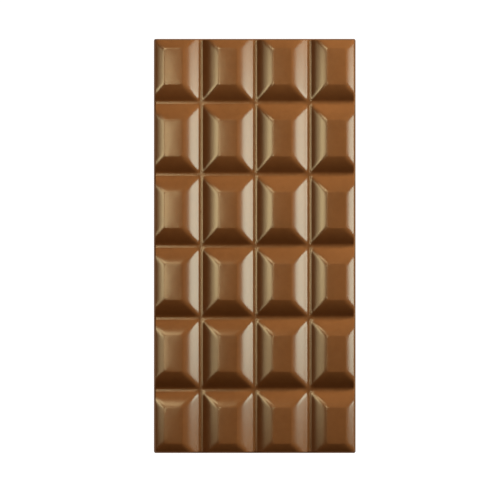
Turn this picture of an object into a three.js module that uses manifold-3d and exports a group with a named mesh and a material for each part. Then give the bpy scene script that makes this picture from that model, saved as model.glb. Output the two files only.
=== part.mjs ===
// A tablet of milk chocolate: one solid casting, scored into bevelled pieces that snap apart.
// Millimetres, +Z up. X runs across the columns and Y along the rows. The tablet lies on its
// flat poured back, with the moulded face up and the origin at the middle of the back.
import * as THREE from "three";
import { mergeVertices } from "three/addons/utils/BufferGeometryUtils.js";
import Module from "manifold-3d";

// Outline, measured on the back.
const WIDTH = 76;
const LENGTH = 156;
const CORNER_RADIUS = 0.7;
const WALL_DRAFT = THREE.MathUtils.degToRad(8); // lean of the outer wall, so that the mould lets go

// The grid of pieces. The outer columns and rows are narrower, cut short by the outer wall.
const COLUMNS = 4;
const ROWS = 6;
const COLUMN_PITCH = 20.31;
const ROW_PITCH = 26.87;

// The section of a piece: a chain of arcs that meet without a kink, from the bottom of one
// groove up to the crown and down to the next. A tilt is the slope's angle to the back.
const GROOVE_THICKNESS = 4.9; // chocolate left under the bottom of a groove
const GROOVE_RADIUS = 1.95;
const FLANK_FOOT_TILT = THREE.MathUtils.degToRad(33.5);
const FLANK_RADIUS = 19.8;
const FLANK_TOP_TILT = THREE.MathUtils.degToRad(16);
const SHOULDER_RADIUS = 0.8;
const CROWN_TILT = THREE.MathUtils.degToRad(2); // tilt where the shoulder becomes the crown

const ARC_SEGMENTS = 3; // ExtrudeGeometry divides each arc into twice as many chords
const OVERSHOOT = 4; // what the cutting shapes have beyond the outline
const BLOCK_TOP = 20; // height of the outer block, well above the crowns

// Half a piece, from the groove's centre line to the middle of a piece that has no flat middle.
const SHOULDER_END =
  GROOVE_RADIUS * Math.sin(FLANK_FOOT_TILT) +
  FLANK_RADIUS * (Math.sin(FLANK_FOOT_TILT) - Math.sin(FLANK_TOP_TILT)) +
  SHOULDER_RADIUS * (Math.sin(FLANK_TOP_TILT) - Math.sin(CROWN_TILT));
const CROWN_RADIUS = (COLUMN_PITCH / 2 - SHOULDER_END) / Math.sin(CROWN_TILT);

const wasm = await Module();
wasm.setup();

// Adds an arc to a path, from its current point and heading to a new heading.
// A heading that grows turns left, which makes a hollow arc, and one that falls, a domed arc.
function turn(path, radius, from, to) {
  const side = to > from ? 1 : -1;
  const centreX = path.currentPoint.x - side * radius * Math.sin(from);
  const centreY = path.currentPoint.y + side * radius * Math.cos(from);
  const quarter = (side * Math.PI) / 2;
  path.absarc(centreX, centreY, radius, from - quarter, to - quarter, side < 0);
}

// Adds one piece to a section, from groove to groove. A pitch longer than the columns' has the
// same flanks and a straight middle.
function addPiece(path, pitch) {
  turn(path, GROOVE_RADIUS, 0, FLANK_FOOT_TILT);
  turn(path, FLANK_RADIUS, FLANK_FOOT_TILT, FLANK_TOP_TILT);
  turn(path, SHOULDER_RADIUS, FLANK_TOP_TILT, CROWN_TILT);
  turn(path, CROWN_RADIUS, CROWN_TILT, 0);
  const middle = pitch - COLUMN_PITCH;
  if (middle > 0) path.lineTo(path.currentPoint.x + middle, path.currentPoint.y);
  turn(path, CROWN_RADIUS, 0, -CROWN_TILT);
  turn(path, SHOULDER_RADIUS, -CROWN_TILT, -FLANK_TOP_TILT);
  turn(path, FLANK_RADIUS, -FLANK_TOP_TILT, -FLANK_FOOT_TILT);
  turn(path, GROOVE_RADIUS, -FLANK_FOOT_TILT, 0);
}

// The section across a row of pieces, standing on the back, with a full piece at each end.
function ridgeSection(count, pitch) {
  const half = (count * pitch) / 2;
  const section = new THREE.Shape();
  section.moveTo(-half, 0);
  section.lineTo(-half, GROOVE_THICKNESS);
  for (let piece = 0; piece < count; piece += 1) addPiece(section, pitch);
  section.lineTo(half, 0);
  section.closePath();
  return section;
}

// Ridges side by side along X, each one running along Y.
function columnRidges() {
  const depth = LENGTH + 2 * OVERSHOOT;
  return new THREE.ExtrudeGeometry(ridgeSection(COLUMNS, COLUMN_PITCH), {
    depth,
    curveSegments: ARC_SEGMENTS,
    bevelEnabled: false,
  })
    .translate(0, 0, -depth / 2)
    .rotateX(Math.PI / 2);
}

// Ridges side by side along Y, each one running along X.
function rowRidges() {
  const depth = WIDTH + 2 * OVERSHOOT;
  return new THREE.ExtrudeGeometry(ridgeSection(ROWS, ROW_PITCH), {
    depth,
    curveSegments: ARC_SEGMENTS,
    bevelEnabled: false,
  })
    .translate(0, 0, -depth / 2)
    .rotateX(Math.PI / 2)
    .rotateZ(Math.PI / 2);
}

// The outline of the back, a rectangle with barely rounded corners.
function backOutline() {
  const x = WIDTH / 2;
  const y = LENGTH / 2;
  const r = CORNER_RADIUS;
  const outline = new THREE.Shape();
  outline.absarc(x - r, y - r, r, 0, Math.PI / 2);
  outline.absarc(r - x, y - r, r, Math.PI / 2, Math.PI);
  outline.absarc(r - x, r - y, r, Math.PI, 1.5 * Math.PI);
  outline.absarc(x - r, r - y, r, 1.5 * Math.PI, 2 * Math.PI);
  return outline;
}

// The block inside the mould's outer wall, true to the outline on the back and leaning in above.
function draftedBlock() {
  const block = new THREE.ExtrudeGeometry(backOutline(), {
    depth: OVERSHOOT + BLOCK_TOP,
    curveSegments: ARC_SEGMENTS,
    bevelEnabled: false,
  }).translate(0, 0, -OVERSHOOT);
  const corner = block.attributes.position;
  for (let i = 0; i < corner.count; i += 1) {
    const inset = corner.getZ(i) * Math.tan(WALL_DRAFT);
    corner.setX(i, corner.getX(i) - Math.sign(corner.getX(i)) * inset);
    corner.setY(i, corner.getY(i) - Math.sign(corner.getY(i)) * inset);
  }
  return block;
}

function solidOf(geometry) {
  const bare = geometry.clone().deleteAttribute("normal").deleteAttribute("uv");
  const merged = mergeVertices(bare, 1e-4);
  return new wasm.Manifold(
    new wasm.Mesh({
      numProp: 3,
      vertProperties: new Float32Array(merged.attributes.position.array),
      triVerts: new Uint32Array(merged.index.array),
    }),
  );
}

function geometryOf(solid) {
  const { vertProperties, triVerts } = solid.getMesh();
  const geometry = new THREE.BufferGeometry();
  geometry.setAttribute("position", new THREE.BufferAttribute(vertProperties, 3));
  geometry.setIndex(new THREE.BufferAttribute(triVerts, 1));
  geometry.computeVertexNormals();
  return geometry;
}

// Ridges crossed with ridges leave the pieces, with mitred corners and grooves both ways.
function tablet() {
  const pieces = solidOf(columnRidges()).intersect(solidOf(rowRidges()));
  const milkChocolate = new THREE.MeshStandardMaterial({
    color: 0x6e4220,
    roughness: 0.35,
    metalness: 0,
  });
  const mesh = new THREE.Mesh(
    geometryOf(pieces.intersect(solidOf(draftedBlock()))),
    milkChocolate,
  );
  mesh.name = "chocolate_bar";
  return mesh;
}

const chocolateBar = new THREE.Group();
chocolateBar.add(tablet());

export default chocolateBar;
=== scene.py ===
"""A tablet of milk chocolate, moulded face up, on a white table in soft studio light."""

import math

import bpy
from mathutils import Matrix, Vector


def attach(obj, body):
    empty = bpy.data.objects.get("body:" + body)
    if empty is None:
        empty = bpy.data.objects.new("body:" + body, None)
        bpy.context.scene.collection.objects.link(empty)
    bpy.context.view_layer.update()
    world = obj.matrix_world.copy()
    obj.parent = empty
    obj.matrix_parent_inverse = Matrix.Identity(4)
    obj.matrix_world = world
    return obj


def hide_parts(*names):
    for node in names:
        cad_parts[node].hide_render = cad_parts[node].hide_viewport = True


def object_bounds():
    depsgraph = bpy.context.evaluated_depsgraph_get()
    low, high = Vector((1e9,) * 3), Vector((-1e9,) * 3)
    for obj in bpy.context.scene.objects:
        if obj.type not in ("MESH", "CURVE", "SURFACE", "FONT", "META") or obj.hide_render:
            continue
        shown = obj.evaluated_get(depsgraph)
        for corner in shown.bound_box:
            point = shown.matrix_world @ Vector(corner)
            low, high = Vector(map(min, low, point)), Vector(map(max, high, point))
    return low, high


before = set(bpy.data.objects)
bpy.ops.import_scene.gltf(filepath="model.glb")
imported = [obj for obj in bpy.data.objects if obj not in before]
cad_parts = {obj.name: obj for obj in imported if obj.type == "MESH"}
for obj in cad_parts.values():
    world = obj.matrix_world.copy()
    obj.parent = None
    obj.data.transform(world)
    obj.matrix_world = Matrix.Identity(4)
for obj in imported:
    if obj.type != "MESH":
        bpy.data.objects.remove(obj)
cad_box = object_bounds()

MM = 0.001

# Outline of the tablet on its poured back, as wide and as long as the frame.
WIDTH = cad_box[1][0] - cad_box[0][0]
LENGTH = cad_box[1][1] - cad_box[0][1]
CORNER_RADIUS = 0.7 * MM
WALL_DRAFT = math.radians(8)

# The grid of pieces.
COLUMNS = 4
ROWS = 6
COLUMN_PITCH = 20.31 * MM
ROW_PITCH = 26.87 * MM

# The section of a piece, a chain of arcs from a groove up to the crown.
GROOVE_THICKNESS = 4.9 * MM  # of the chocolate under a groove
GROOVE_RADIUS = 1.95 * MM
FLANK_FOOT_TILT = math.radians(33.5)
FLANK_RADIUS = 19.8 * MM
FLANK_TOP_TILT = math.radians(16)
SHOULDER_RADIUS = 0.8 * MM
CROWN_TILT = math.radians(2)
MITRE_SOFTNESS = 1.8 * MM  # how far the ridges between two flanks are melted round
RIM_SOFTNESS = 0.5 * MM  # the same where a piece meets the outer wall

# The outer wall, down from the edge of the grid that makes the moulded face.
GRID_INSET = 0.45 * MM  # from the outline to the edge of the grid, which lies partway down the wall
FOOT_RINGS = (  # height and inset of the rings that carry the wall down and round it in to the back
    (0.30 * MM, 0.045 * MM),
    (0.10 * MM, 0.07 * MM),
    (0.0, 0.16 * MM),
)

# How finely the tablet is meshed.
LINES_ACROSS = 190
LINES_ALONG = 300
TURN_WEIGHT = 6 * MM  # a turn of one radian draws as many lines as this length of straight section
HELPER_POINTS = 3000  # on the curve that spaces the lines
PROBE = 0.04 * MM  # half the stretch over which a tilt is measured
MERGE_DISTANCE = 0.0001 * MM
LEAST_REACH = 0.00004 * MM  # keeps a division off zero

# The colour sockets of a mix node, which have their names in common with its other sockets.
MIX_FIRST = 6
MIX_SECOND = 7
MIX_RESULT = 2

SOCKET_KINDS = {float: "NodeSocketFloat", int: "NodeSocketInt"}


class Wire:
    """The end of a wire in a node tree. Arithmetic on it adds the tree's own maths nodes."""

    def __init__(self, tree, socket):
        self.tree = tree
        self.socket = socket
        self.node = socket.node

    def output(self, name):
        """A wire from another output of the same node."""
        return Wire(self.tree, self.node.outputs[name])

    def maths(self, operation, *others):
        return self.tree.add("ShaderNodeMath", {"operation": operation}, self, *others)

    def __add__(self, other):
        return self.maths("ADD", other)

    def __radd__(self, other):
        return self.maths("ADD", other)

    def __sub__(self, other):
        return self.maths("SUBTRACT", other)

    def __rsub__(self, other):
        return self.tree.add("ShaderNodeMath", {"operation": "SUBTRACT"}, other, self)

    def __mul__(self, other):
        return self.maths("MULTIPLY", other)

    def __rmul__(self, other):
        return self.maths("MULTIPLY", other)

    def __truediv__(self, other):
        return self.maths("DIVIDE", other)

    def __neg__(self):
        return self.maths("MULTIPLY", -1.0)

    def __abs__(self):
        return self.maths("ABSOLUTE")

    def __lt__(self, other):
        return self.maths("LESS_THAN", other)

    def __gt__(self, other):
        return self.maths("GREATER_THAN", other)

    def root(self):
        return self.maths("SQRT")

    def sign(self):
        return self.maths("SIGN")

    def sine(self):
        return self.maths("SINE")

    def cosine(self):
        return self.maths("COSINE")

    def tangent(self):
        return self.maths("TANGENT")

    def arctangent(self):
        return self.maths("ARCTANGENT")

    def least(self, other):
        return self.maths("MINIMUM", other)

    def most(self, other):
        return self.maths("MAXIMUM", other)

    def clamped(self):
        return self.least(1.0).most(0.0)

    def spread(self, low, high):
        """Stretches the part between low and high over 0 to 1."""
        return ((self - low) / (high - low)).clamped()

    def melt(self, other, softness):
        """The lower of two surfaces, with the edge where they cross melted round."""
        return self.maths("SMOOTH_MIN", other, softness)


class Tree:
    """A node tree that is written from top to bottom, one node a line."""

    def __init__(self, made):
        self.made = made

    def add(self, kind, settings=None, *values, out=0, **named):
        """Adds a node, sets its settings, then fills its sockets by place and by name."""
        node = self.made.nodes.new(kind)
        for key, value in (settings or {}).items():
            setattr(node, key, value)
        for place, value in enumerate(values):
            self.fill(node.inputs[place], value)
        for name, value in named.items():
            self.fill(node.inputs[name.replace("_", " ")], value)
        return Wire(self, node.outputs[out])

    def fill(self, socket, value):
        """Links a wire to a socket, or sets a plain value on it."""
        if isinstance(value, Wire):
            self.made.links.new(value.socket, socket)
        else:
            socket.default_value = value

    def vector(self, x, y, z):
        return self.add("ShaderNodeCombineXYZ", None, x, y, z)

    def split(self, vector):
        """The three parts of a vector."""
        parts = self.add("ShaderNodeSeparateXYZ", None, vector)
        return [Wire(self, socket) for socket in parts.node.outputs]

    def mixed(self, share, first, second):
        """The first colour, with a share of the second mixed in."""
        colour = self.add("ShaderNodeMix", {"data_type": "RGBA"}, share, out=MIX_RESULT)
        self.fill(colour.node.inputs[MIX_FIRST], first)
        self.fill(colour.node.inputs[MIX_SECOND], second)
        return colour

    def end(self, kind, result):
        """Adds the last node, which takes the result, and gives the finished tree."""
        last = self.made.nodes.new(kind)
        self.fill(last.inputs[0], result)
        return self.made


def choose(test, when_true, when_false):
    """One value where a test is 1, and the other where it is 0."""
    return when_false + test * (when_true - when_false)


# --- The shape of the tablet -------------------------------------------------------------------

SECTION_SIZES = {
    "Groove Thickness": GROOVE_THICKNESS,
    "Groove Radius": GROOVE_RADIUS,
    "Foot Tilt": FLANK_FOOT_TILT,
    "Flank Radius": FLANK_RADIUS,
    "Top Tilt": FLANK_TOP_TILT,
    "Shoulder Radius": SHOULDER_RADIUS,
    "Crown Tilt": CROWN_TILT,
    "Crown Reach": COLUMN_PITCH / 2,
}
TABLET_SIZES = {
    "Width": WIDTH,
    "Length": LENGTH,
    "Columns": COLUMNS,
    "Rows": ROWS,
    "Column Pitch": COLUMN_PITCH,
    "Row Pitch": ROW_PITCH,
    "Wall Draft": WALL_DRAFT,
    "Corner Radius": CORNER_RADIUS,
    "Mitre Softness": MITRE_SOFTNESS,
    "Rim Softness": RIM_SOFTNESS,
    "Turn Weight": TURN_WEIGHT,
    "Lines Across": LINES_ACROSS,
    "Lines Along": LINES_ALONG,
    **SECTION_SIZES,
}


def new_geometry_tree(name, sizes, output, output_kind):
    """A geometry node group with its sizes as named inputs. Gives the tree and wires from them."""
    made = bpy.data.node_groups.new(name, "GeometryNodeTree")
    for label, value in sizes.items():
        kind = SOCKET_KINDS[type(value)]
        socket = made.interface.new_socket(label, in_out="INPUT", socket_type=kind)
        socket.default_value = value
    made.interface.new_socket(output, in_out="OUTPUT", socket_type=output_kind)
    tree = Tree(made)
    entry = made.nodes.new("NodeGroupInput")
    return tree, {label: Wire(tree, entry.outputs[label]) for label in sizes}


def domed_arc(along, start, height, radius, tilt):
    """Height over an arc that starts at a place and height, and climbs at first at that tilt."""
    middle = start + radius * tilt.sine()
    drop = radius * tilt.cosine()
    return height - drop + (radius * radius - (along - middle) * (along - middle)).root()


def section_tree():
    """Height of the moulded face above the back, at a distance from the nearest groove."""
    sizes = {"From Groove": 0.0, **SECTION_SIZES}
    tree, size = new_geometry_tree("tablet section", sizes, "Height", "NodeSocketFloat")
    from_groove = size["From Groove"]

    groove_radius = size["Groove Radius"]
    foot, top, crown = size["Foot Tilt"], size["Top Tilt"], size["Crown Tilt"]
    groove_end = groove_radius * foot.sine()
    groove_rise = groove_radius * (1 - foot.cosine())
    flank_end = groove_end + size["Flank Radius"] * (foot.sine() - top.sine())
    flank_rise = groove_rise + size["Flank Radius"] * (top.cosine() - foot.cosine())
    shoulder_end = flank_end + size["Shoulder Radius"] * (top.sine() - crown.sine())
    shoulder_rise = flank_rise + size["Shoulder Radius"] * (crown.cosine() - top.cosine())
    crown_radius = (size["Crown Reach"] - shoulder_end) / crown.sine()

    groove_drop = groove_radius * groove_radius - from_groove * from_groove
    groove = groove_radius - groove_drop.root()
    flank = domed_arc(from_groove, groove_end, groove_rise, size["Flank Radius"], foot)
    shoulder = domed_arc(from_groove, flank_end, flank_rise, size["Shoulder Radius"], top)
    on_crown = from_groove.least(size["Crown Reach"])
    crest = domed_arc(on_crown, shoulder_end, shoulder_rise, crown_radius, crown)

    height = choose(from_groove < groove_end, groove, flank)
    height = choose(from_groove < flank_end, height, shoulder)
    height = choose(from_groove < shoulder_end, height, crest)
    return tree.end("NodeGroupOutput", size["Groove Thickness"] + height)


def point_place(tree):
    """The three parts of where a point of the mesh is."""
    return tree.split(tree.add("GeometryNodeInputPosition"))


def open_edges(tree):
    """Picks the edges with fewer than two faces."""
    return tree.add("GeometryNodeInputMeshEdgeNeighbors") < 2


def placed_lines(tree, half, height_at, share, turn_weight):
    """Where the mesh lines lie along one direction: closer together where the section turns.

    A helper curve is drawn of the place along the section against the section's tilt there, and
    equal steps along that curve are the places of the lines.
    """
    helper = tree.add(
        "GeometryNodeMeshLine",
        {"mode": "OFFSET"},
        HELPER_POINTS,
        Start_Location=tree.vector(-half, 0.0, 0.0),
        Offset=tree.vector(2 * half / (HELPER_POINTS - 1), 0.0, 0.0),
    )
    along, _, _ = point_place(tree)
    rise = height_at(along + PROBE) - height_at(along - PROBE)
    tilt = (rise / (2 * PROBE)).arctangent()
    curve = tree.add("GeometryNodeMeshToCurve", None, helper)
    drawn = tree.vector(along, tilt * turn_weight, 0.0)
    curve = tree.add("GeometryNodeSetPosition", None, curve, Position=drawn)
    settings = {"mode": "FACTOR", "use_all_curves": True}
    sampled = tree.add("GeometryNodeSampleCurve", settings, curve, Factor=share, out="Position")
    return tree.split(sampled)[0]


def moulded_face(tree, size):
    """The pieces, the grooves between them and the top of the outer wall, on one grid."""
    section = section_tree()
    section_sizes = {label: size[label] for label in SECTION_SIZES}

    def face(distance):
        sizes = {"From Groove": distance, **section_sizes}
        return tree.add("GeometryNodeGroup", {"node_tree": section}, **sizes)

    def placed(full, pitch, count, share):
        """Where the lines lie along one direction, how far each is from a groove, and the wall there."""

        def from_groove(along):
            return (along + pitch * count / 2).maths("PINGPONG", pitch / 2)

        def outer_wall(along):
            return (full / 2 - abs(along)) / size["Wall Draft"].tangent()

        def height_at(along):
            return face(from_groove(along)).melt(outer_wall(along), size["Rim Softness"])

        half = full / 2 - GRID_INSET
        along = placed_lines(tree, half, height_at, share + 0.5, size["Turn Weight"])
        return along, from_groove(along), outer_wall(along)

    grid = tree.add(
        "GeometryNodeMeshGrid",
        None,
        1.0,
        1.0,
        Vertices_X=size["Lines Across"],
        Vertices_Y=size["Lines Along"],
    )
    share_x, share_y, _ = point_place(tree)
    x, distance_x, wall_x = placed(size["Width"], size["Column Pitch"], size["Columns"], share_x)
    y, distance_y, wall_y = placed(size["Length"], size["Row Pitch"], size["Rows"], share_y)
    distance = distance_x.melt(distance_y, size["Mitre Softness"]).most(0.0)
    height = face(distance).melt(wall_x.least(wall_y), size["Rim Softness"])
    return tree.add("GeometryNodeSetPosition", None, grid, Position=tree.vector(x, y, height))


def wall_foot(tree, size, body):
    """Carries the outer wall straight down, and rounds it in to the back."""
    inset = GRID_INSET
    for ring_height, ring_inset in FOOT_RINGS:
        edges = open_edges(tree)
        body = tree.add("GeometryNodeExtrudeMesh", {"mode": "EDGES"}, body, edges, Offset_Scale=0.0)
        x, y, _ = point_place(tree)
        grown_x = x * (size["Width"] / 2 - ring_inset) / (size["Width"] / 2 - inset)
        grown_y = y * (size["Length"] / 2 - ring_inset) / (size["Length"] / 2 - inset)
        place = tree.vector(grown_x, grown_y, ring_height)
        body = tree.add("GeometryNodeSetPosition", None, body, body.output("Top"), place)
        inset = ring_inset
    return body


def rounded_corners(tree, size, body):
    """Pulls the square corners of the outline in to arcs, all the way up the outer wall."""
    x, y, z = point_place(tree)
    lean = z * size["Wall Draft"].tangent()
    radius = size["Corner Radius"]
    centre_x = size["Width"] / 2 - lean - radius
    centre_y = size["Length"] / 2 - lean - radius
    past_x = (abs(x) - centre_x).most(0.0)
    past_y = (abs(y) - centre_y).most(0.0)
    reach = (past_x * past_x + past_y * past_y).root().most(LEAST_REACH)
    keep = past_x.most(past_y) / reach
    corner = (past_x > 0.0) * (past_y > 0.0)
    new_x = x.sign() * (centre_x + past_x * keep)
    new_y = y.sign() * (centre_y + past_y * keep)
    return tree.add("GeometryNodeSetPosition", None, body, corner, tree.vector(new_x, new_y, z))


def closed_back(tree, body):
    """Fills the open edge under the tablet with its flat poured back."""
    rim = tree.add("GeometryNodeMeshToCurve", None, body, open_edges(tree))
    back = tree.add("GeometryNodeFillCurve", None, rim)
    back = tree.add("GeometryNodeFlipFaces", None, back)
    joined = tree.add("GeometryNodeJoinGeometry")
    for part in (back, body):
        tree.fill(joined.node.inputs[0], part)
    return tree.add("GeometryNodeMergeByDistance", None, joined, Distance=MERGE_DISTANCE)


def tablet_tree(chocolate):
    """The whole tablet, from its moulded face down to its back."""
    tree, size = new_geometry_tree("chocolate tablet", TABLET_SIZES, "Geometry", "NodeSocketGeometry")
    body = moulded_face(tree, size)
    body = wall_foot(tree, size, body)
    body = rounded_corners(tree, size, body)
    body = closed_back(tree, body)
    body = tree.add("GeometryNodeSetShadeSmooth", None, body)
    body = tree.add("GeometryNodeRealizeInstances", None, body)
    body = tree.add("GeometryNodeSetMaterial", None, body, Material=chocolate)
    return tree.end("NodeGroupOutput", body)


def made_mesh(name, tree, sizes):
    """Runs a geometry node tree once, and keeps its result as a plain mesh object."""
    seed = bpy.data.objects.new(name + "_seed", bpy.data.meshes.new(name + "_seed"))
    bpy.context.scene.collection.objects.link(seed)
    modifier = seed.modifiers.new("shape", "NODES")
    modifier.node_group = tree
    for item in tree.interface.items_tree:
        if item.in_out == "INPUT":
            modifier[item.identifier] = sizes[item.name]
    evaluated = seed.evaluated_get(bpy.context.evaluated_depsgraph_get())
    mesh = bpy.data.meshes.new_from_object(evaluated)
    bpy.data.objects.remove(seed)
    mesh.name = name
    piece = bpy.data.objects.new(name, mesh)
    bpy.context.scene.collection.objects.link(piece)
    return piece


# --- Materials ---------------------------------------------------------------------------------

# Milk chocolate: a deep brown that drifts to a lighter one, under a thin film of bloom.
DEEP_BROWN = (0.126, 0.0425, 0.0148, 1.0)
BROWN = (0.152, 0.0520, 0.0185, 1.0)
BLOOM_BROWN = (0.190, 0.085, 0.040, 1.0)
GLOSS = 0.205  # roughness of the skin that the mould gives
REFRACTIVE_INDEX = 1.5
BACK_HEIGHT = 0.05 * MM  # below this lies the poured back, which never touched a mould

# The patterns in it, with their scales in cells to a metre.
DRIFT = {"Scale": 45.0, "Detail": 2.0}  # clouds of brown about 22 mm across
MOTTLE = {"Scale": 420.0, "Detail": 3.0, "Roughness": 0.6}  # flecks a little over 2 mm across
GRAIN = {"Scale": 1100.0, "Detail": 3.0, "Roughness": 0.6}  # grain a little under 1 mm across
BLOOM = {"Scale": 160.0, "Detail": 4.0, "Roughness": 0.62}  # patches about 6 mm across
SWELL = {"Scale": 130.0, "Detail": 1.0}  # the moulded surface's soft swell, about 8 mm across
RIPPLE = {"Scale": 700.0, "Detail": 4.0}  # the poured back's ripple, a little over 1 mm across
MIDDLE = 0.5  # of a pattern's range

# What the patterns do to the colour.
DRIFT_SHARE = 0.6  # of the clouds in the brown
MOTTLE_SHARE = 0.4
DEEPEST = 0.35  # the clouds' value where the brown is deepest
LIGHTEST = 0.65
BLOOM_START = 0.56  # the pattern's value where bloom starts to show
BLOOM_STEEPNESS = 3.0
BLOOM_TINT = 0.16  # share of the bloom's brown where the bloom is full
BACK_TINT = 0.25

# What they do to the roughness and to the surface.
MOTTLE_ROUGHNESS = 0.03
GRAIN_ROUGHNESS = 0.01
BLOOM_ROUGHNESS = 0.03
BACK_ROUGHNESS = 0.2
SWELL_HEIGHT = 0.010 * MM
GRAIN_HEIGHT = 0.00015 * MM
RIPPLE_HEIGHT = 0.02 * MM


def new_material(name):
    """A material with no nodes yet, and its tree."""
    material = bpy.data.materials.new(name)
    material.use_nodes = True
    material.node_tree.nodes.clear()
    return material, Tree(material.node_tree)


def milk_chocolate():
    material, tree = new_material("milk_chocolate")
    place = tree.add("ShaderNodeTexCoord", out="Object")
    _, _, height = tree.split(place)
    back = height < BACK_HEIGHT

    def noise(pattern):
        return tree.add("ShaderNodeTexNoise", None, Vector=place, **pattern)

    drift, mottle, grain = noise(DRIFT), noise(MOTTLE), noise(GRAIN)
    bloom = ((noise(BLOOM) - BLOOM_START) * BLOOM_STEEPNESS).clamped()

    clouds = (drift * DRIFT_SHARE + mottle * MOTTLE_SHARE).spread(DEEPEST, LIGHTEST)
    colour = tree.mixed(clouds, DEEP_BROWN, BROWN)
    colour = tree.mixed(bloom * BLOOM_TINT + back * BACK_TINT, colour, BLOOM_BROWN)

    fine = (mottle - MIDDLE) * MOTTLE_ROUGHNESS + (grain - MIDDLE) * GRAIN_ROUGHNESS
    roughness = GLOSS + fine + bloom * BLOOM_ROUGHNESS + back * BACK_ROUGHNESS

    relief = noise(SWELL) * SWELL_HEIGHT + grain * GRAIN_HEIGHT + back * noise(RIPPLE) * RIPPLE_HEIGHT
    normal = tree.add("ShaderNodeBump", None, Strength=1.0, Distance=1.0, Height=relief)

    shader = tree.add(
        "ShaderNodeBsdfPrincipled",
        None,
        Base_Color=colour,
        Roughness=roughness,
        Normal=normal,
        IOR=REFRACTIVE_INDEX,
        Coat_Weight=1.0,
        Coat_IOR=REFRACTIVE_INDEX,
        Coat_Roughness=GLOSS,
    )
    tree.end("ShaderNodeOutputMaterial", shader)
    return material


# --- The table ---------------------------------------------------------------------------------

WHITE = (1.0, 1.0, 1.0, 1.0)
TABLE_GLOW = 1.1
TABLE_HALF = 4.0  # half of its side in metres, so that it fills a low view too


def table_white():
    material, tree = new_material("table_white")
    shader = tree.add("ShaderNodeEmission", None, WHITE, TABLE_GLOW)
    tree.end("ShaderNodeOutputMaterial", shader)
    return material


def build_table():
    """A plain white table that only the camera sees: it neither lights nor shades the tablet."""
    half = TABLE_HALF
    mesh = bpy.data.meshes.new("table")
    corners = [(-half, -half, 0.0), (half, -half, 0.0), (half, half, 0.0), (-half, half, 0.0)]
    mesh.from_pydata(corners, [], [(0, 1, 2, 3)])
    mesh.materials.append(table_white())
    table = bpy.data.objects.new("table", mesh)
    bpy.context.scene.collection.objects.link(table)
    table.visible_glossy = False
    table.visible_diffuse = False
    table.visible_shadow = False


# --- Light and camera --------------------------------------------------------------------------

# The colours of daylight, of warm reflectors, and of what a table gives back beside chocolate.
DAYLIGHT = (0.87, 1.0, 0.82)
WARM = (1.0, 0.83, 0.45)
RUSSET = (1.0, 0.5, 0.25)
POWER_OF_GLOW = 4.0  # watts for a square metre of light with a radiance of one

SENSOR = 36.0  # width of the camera's sensor, in the millimetres that the lens is also given in
CAMERA_PLACE = (-1.79 * MM, -1.52 * MM, 1050 * MM)
PICTURE_WIDTH = 188.3 * MM  # how much of the table the picture takes in
SIGHT = 10.0  # metres, the furthest that the camera sees


def soft_light(name, tilt, azimuth, distance, width, height, radiance, colour):
    """A rectangle of even light that faces the tablet's middle.

    The tilt is from straight overhead and the azimuth from +X, both in degrees. The distance and
    the sides of the rectangle are in millimetres.
    """
    data = bpy.data.lights.new(name, "AREA")
    data.shape = "RECTANGLE"
    data.size = width * MM
    data.size_y = height * MM
    data.energy = POWER_OF_GLOW * radiance * data.size * data.size_y
    data.color = colour
    light = bpy.data.objects.new(name, data)
    bpy.context.scene.collection.objects.link(light)
    lean, turn = math.radians(tilt), math.radians(azimuth)
    across = distance * MM * math.sin(lean)
    rise = distance * MM * math.cos(lean)
    light.location = (across * math.cos(turn), across * math.sin(turn), rise)
    light.rotation_euler = (lean, 0.0, turn + math.pi / 2)
    return light


def build_lights():
    """A softbox, a window and reflectors round the tablet, a strip overhead, and a low sun.

    The last light shines up from under the table, and gives the outer walls what a table gives back.
    """
    # The numbers are tilt, azimuth, distance, width, height and radiance.
    soft_light("right_softbox", 55, 2, 450, 180, 190, 4.0, DAYLIGHT)
    soft_light("left_window", 35, 170, 330, 130, 80, 2.8, WARM)
    soft_light("left_reflector", 40, 178, 250, 180, 90, 1.6, WARM)
    soft_light("overhead_strip", 10, 170, 450, 180, 30, 7.0, WARM)
    soft_light("far_reflector", 30, 120, 400, 140, 80, 4.0, WARM)
    sun = soft_light("far_sun", 70, 45, 500, 100, 150, 118.0, DAYLIGHT)
    sun.visible_glossy = False  # it gives the even brown, with no glint of its own
    soft_light("table_bounce", 180, 0, 60, 600, 600, 0.14, RUSSET)


def build_world():
    """Nothing round the table gives light, so all of it comes from the lights."""
    world = bpy.data.worlds.new("world")
    world.color = (0.0, 0.0, 0.0)
    bpy.context.scene.world = world


def build_camera():
    """Looks straight down on the tablet."""
    data = bpy.data.cameras.new("camera")
    data.sensor_width = SENSOR
    data.lens = SENSOR * CAMERA_PLACE[2] / PICTURE_WIDTH
    data.clip_end = SIGHT
    camera = bpy.data.objects.new("camera", data)
    camera.location = CAMERA_PLACE
    bpy.context.scene.collection.objects.link(camera)
    bpy.context.scene.camera = camera


tablet = made_mesh("moulded_tablet", tablet_tree(milk_chocolate()), TABLET_SIZES)
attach(tablet, "root")
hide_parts("chocolate_bar")
build_table()
build_camera()
build_lights()
build_world()
bpy.context.scene.view_settings.view_transform = "Standard"
